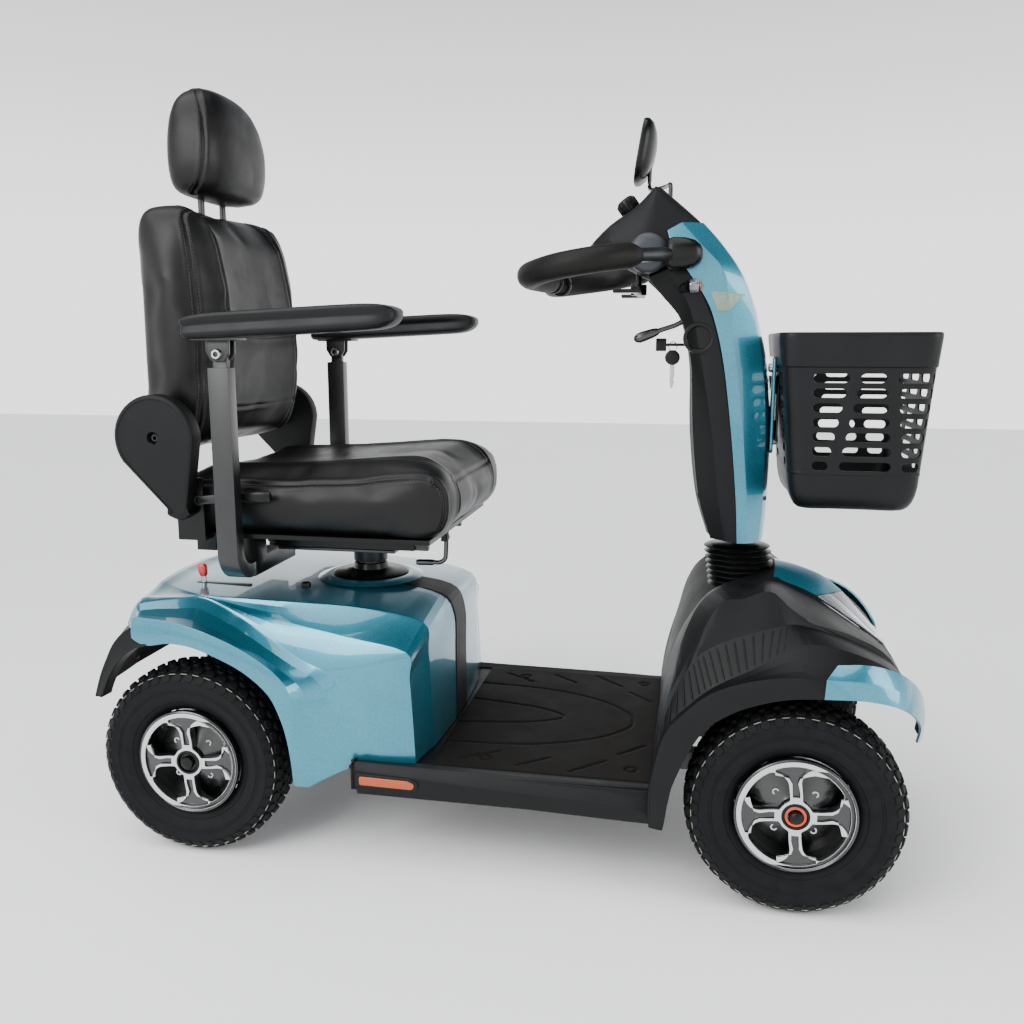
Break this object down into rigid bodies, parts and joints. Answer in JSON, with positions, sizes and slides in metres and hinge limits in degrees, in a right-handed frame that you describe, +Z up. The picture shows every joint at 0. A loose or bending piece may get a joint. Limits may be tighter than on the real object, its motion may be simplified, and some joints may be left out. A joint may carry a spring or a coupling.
{
  "type": "mobility scooter",
  "caption": "Electric mobility scooter with swivelling, reclining captain seat, flip-up armrests, tilting tiller with wrap-round handlebar and a front basket.",
  "frame": {"origin": "on the floor, under the middle of the bounding box, midway between the axles", "axes": "+X to the front of the scooter, +Y to the rider's left, +Z up"},
  "size_m": [1.42, 0.612, 1.341],
  "materials": {
    "frame_paint": "satin black powder coat",
    "gear_alloy": "cast, dull",
    "battery_case": "matt",
    "teal_panel": "metallic teal lacquer",
    "black_panel": "fine grained black moulding",
    "deck_rubber": "ribbed black rubber",
    "red_lens": "red lens",
    "amber_lens": "amber lens",
    "clear_lens": "clear polycarbonate",
    "lever_steel": "zinc plated",
    "tyre_rubber": "black tread rubber",
    "rim_alloy": "black paint with machined face",
    "hub_black": "black cap, steel bolts",
    "steel_dark": "black steel",
    "gaiter_rubber": "matt rubber",
    "grip_foam": "soft black grip",
    "vinyl": "black vinyl upholstery over foam",
    "arm_foam": "moulded polyurethane",
    "mirror_shell": "black shell with silvered glass",
    "key_steel": "nickel plated"
  },
  "bodies": {
    "chassis": {"main_frame": "frame_paint", "transaxle": "gear_alloy", "batteries": "battery_case", "rear_shroud": "teal_panel", "shroud_strip": "black_panel", "rear_bumper": "black_panel", "tail_lights": "red_lens", "seat_post": "frame_paint", "footboard": "deck_rubber", "side_reflectors": "amber_lens", "front_cowl": "black_panel", "cowl_panels": "teal_panel", "headlight": "clear_lens"},
    "freewheel": {"freewheel_lever": "lever_steel"},
    "rear_wheel_left": {"rear_tyre_left": "tyre_rubber", "rear_rim_left": "rim_alloy", "rear_hub_left": "hub_black"},
    "rear_wheel_right": {"rear_tyre_right": "tyre_rubber", "rear_rim_right": "rim_alloy", "rear_hub_right": "hub_black"},
    "knuckle_left": {"knuckle_left": "steel_dark"},
    "knuckle_right": {"knuckle_right": "steel_dark"},
    "front_wheel_left": {"front_tyre_left": "tyre_rubber", "front_rim_left": "rim_alloy", "front_hub_left": "hub_black"},
    "front_wheel_right": {"front_tyre_right": "tyre_rubber", "front_rim_right": "rim_alloy", "front_hub_right": "hub_black"},
    "track_rod": {"track_rod": "steel_dark"},
    "steering": {"steering_shaft": "steel_dark", "gaiter": "gaiter_rubber"},
    "tiller": {"tiller_column": "steel_dark", "tiller_front_cover": "teal_panel", "tiller_rear_cover": "black_panel", "tiller_head": "black_panel", "handlebar": "frame_paint", "hand_grips": "grip_foam", "indicators": "amber_lens", "basket_bracket": "steel_dark"},
    "throttle": {"throttle": "black_panel"},
    "speed_knob": {"speed_knob": "black_panel"},
    "ignition_key": {"ignition_key": "key_steel"},
    "spare_key": {"spare_key": "key_steel"},
    "tilt_lever": {"tilt_lever": "black_panel"},
    "mirror_arm": {"mirror_arm": "frame_paint"},
    "mirror_head": {"mirror_head": "mirror_shell"},
    "basket": {"basket": "black_panel"},
    "swivel": {"swivel_plate": "frame_paint"},
    "seat": {"seat_pan": "black_panel", "seat_cushion": "vinyl", "hinge_covers": "black_panel"},
    "back": {"back_frame": "black_panel", "back_cushion": "vinyl"},
    "headrest": {"headrest": "vinyl"},
    "arm_left": {"arm_post_left": "frame_paint"},
    "arm_right": {"arm_post_right": "frame_paint"},
    "armrest_left": {"armrest_left": "arm_foam"},
    "armrest_right": {"armrest_right": "arm_foam"},
    "recline_lever": {"recline_lever": "frame_paint"},
    "slide_lever": {"slide_lever": "frame_paint"}
  },
  "joints": [
    {"name": "rear_left_spin", "type": "hinge", "parent": "chassis", "child": "rear_wheel_left", "pos_m": [-0.507, 0.245, 0.17], "axis": [0, 1, 0], "continuous": true},
    {"name": "rear_right_spin", "type": "hinge", "parent": "chassis", "child": "rear_wheel_right", "pos_m": [-0.507, -0.245, 0.17], "axis": [0, 1, 0], "continuous": true},
    {"name": "freewheel_turn", "type": "hinge", "parent": "chassis", "child": "freewheel", "pos_m": [-0.552, -0.12, 0.247], "axis": [0, 1, 0], "range_deg": [0, 20]},
    {"name": "tiller_steer", "type": "hinge", "parent": "chassis", "child": "steering", "pos_m": [0.43, 0, 0.3], "axis": [0, 0, 1], "range_deg": [-25, 25]},
    {"name": "knuckle_left_turn", "type": "hinge", "parent": "chassis", "child": "knuckle_left", "pos_m": [0.507, 0.175, 0.17], "axis": [0, 0, 1], "range_deg": [-26, 26]},
    {"name": "front_left_spin", "type": "hinge", "parent": "knuckle_left", "child": "front_wheel_left", "pos_m": [0.507, 0.245, 0.17], "axis": [0, 1, 0], "continuous": true},
    {"name": "knuckle_right_turn", "type": "hinge", "parent": "chassis", "child": "knuckle_right", "pos_m": [0.507, -0.175, 0.17], "axis": [0, 0, 1], "range_deg": [-26, 26]},
    {"name": "front_right_spin", "type": "hinge", "parent": "knuckle_right", "child": "front_wheel_right", "pos_m": [0.507, -0.245, 0.17], "axis": [0, 1, 0], "continuous": true},
    {"name": "track_link_turn", "type": "hinge", "parent": "steering", "child": "track_rod", "pos_m": [0.345, 0, 0.215], "axis": [0, 0, 1], "range_deg": [-26, 26]},
    {"name": "tiller_tilt", "type": "hinge", "parent": "steering", "child": "tiller", "pos_m": [0.424, 0, 0.5], "axis": [0, 1, 0], "range_deg": [-8, 12], "deforming": ["gaiter"]},
    {"name": "throttle_swing", "type": "hinge", "parent": "tiller", "child": "throttle", "pos_m": [0.232, 0, 0.975], "axis": [0, 0, 1], "range_deg": [-14, 14], "stiffness_Nm_per_rad": 0.6},
    {"name": "speed_turn", "type": "hinge", "parent": "tiller", "child": "speed_knob", "pos_m": [0.218, 0, 1.106], "axis": [-0.6018, 0, 0.7986], "range_deg": [0, 270]},
    {"name": "key_turn", "type": "hinge", "parent": "tiller", "child": "ignition_key", "pos_m": [0.3, 0, 0.882], "axis": [1, 0, 0], "range_deg": [0, 90]},
    {"name": "spare_key_swing", "type": "hinge", "parent": "tiller", "child": "spare_key", "pos_m": [0.294, 0, 0.882], "axis": [1, 0, 0], "range_deg": [-40, 40]},
    {"name": "tilt_release", "type": "hinge", "parent": "tiller", "child": "tilt_lever", "pos_m": [0.302, -0.032, 0.917], "axis": [0, 1, 0], "range_deg": [0, 20], "stiffness_Nm_per_rad": 1, "springref_deg": -11.46},
    {"name": "mirror_swing", "type": "hinge", "parent": "tiller", "child": "mirror_arm", "pos_m": [0.28, 0.062, 1.1], "axis": [0, 0, 1], "range_deg": [-25, 25]},
    {"name": "mirror_tilt", "type": "hinge", "parent": "mirror_arm", "child": "mirror_head", "pos_m": [0.236, 0.23, 1.24], "axis": [0, 1, 0], "range_deg": [-10, 10]},
    {"name": "basket_lift", "type": "slide", "parent": "tiller", "child": "basket", "axis": [0, 0, 1], "range_m": [0, 0.08]},
    {"name": "seat_swivel", "type": "hinge", "parent": "chassis", "child": "swivel", "pos_m": [-0.268, 0, 0.5], "axis": [0, 0, 1], "range_deg": [-90, 90]},
    {"name": "seat_slide", "type": "slide", "parent": "swivel", "child": "seat", "axis": [1, 0, 0], "range_m": [-0.05, 0.05]},
    {"name": "recline", "type": "hinge", "parent": "seat", "child": "back", "pos_m": [-0.548, 0, 0.729], "axis": [0, 1, 0], "range_deg": [-15, 60]},
    {"name": "headrest_slide", "type": "slide", "parent": "back", "child": "headrest", "axis": [0, 0, 1], "range_m": [0, 0.06]},
    {"name": "arm_width_left", "type": "slide", "parent": "seat", "child": "arm_left", "axis": [0, 1, 0], "range_m": [0, 0.05]},
    {"name": "arm_flip_left", "type": "hinge", "parent": "arm_left", "child": "armrest_left", "pos_m": [-0.423, 0.256, 0.867], "axis": [0, 1, 0], "range_deg": [-90, 0]},
    {"name": "arm_width_right", "type": "slide", "parent": "seat", "child": "arm_right", "axis": [0, -1, 0], "range_m": [0, 0.05]},
    {"name": "arm_flip_right", "type": "hinge", "parent": "arm_right", "child": "armrest_right", "pos_m": [-0.423, -0.256, 0.867], "axis": [0, 1, 0], "range_deg": [-90, 0]},
    {"name": "recline_pull", "type": "hinge", "parent": "seat", "child": "recline_lever", "pos_m": [-0.488, -0.237, 0.622], "axis": [0, 1, 0], "range_deg": [-20, 0], "stiffness_Nm_per_rad": 1, "springref_deg": 17.19},
    {"name": "slide_pull", "type": "hinge", "parent": "seat", "child": "slide_lever", "pos_m": [-0.095, -0.085, 0.543], "axis": [0, 1, 0], "range_deg": [0, 12], "stiffness_Nm_per_rad": 1, "springref_deg": -17.19}
  ],
  "couplings": [
    {"joint": "knuckle_left_turn", "follows": "tiller_steer", "ratio": 1},
    {"joint": "knuckle_right_turn", "follows": "tiller_steer", "ratio": 1},
    {"joint": "track_link_turn", "follows": "tiller_steer", "ratio": -1}
  ]
}
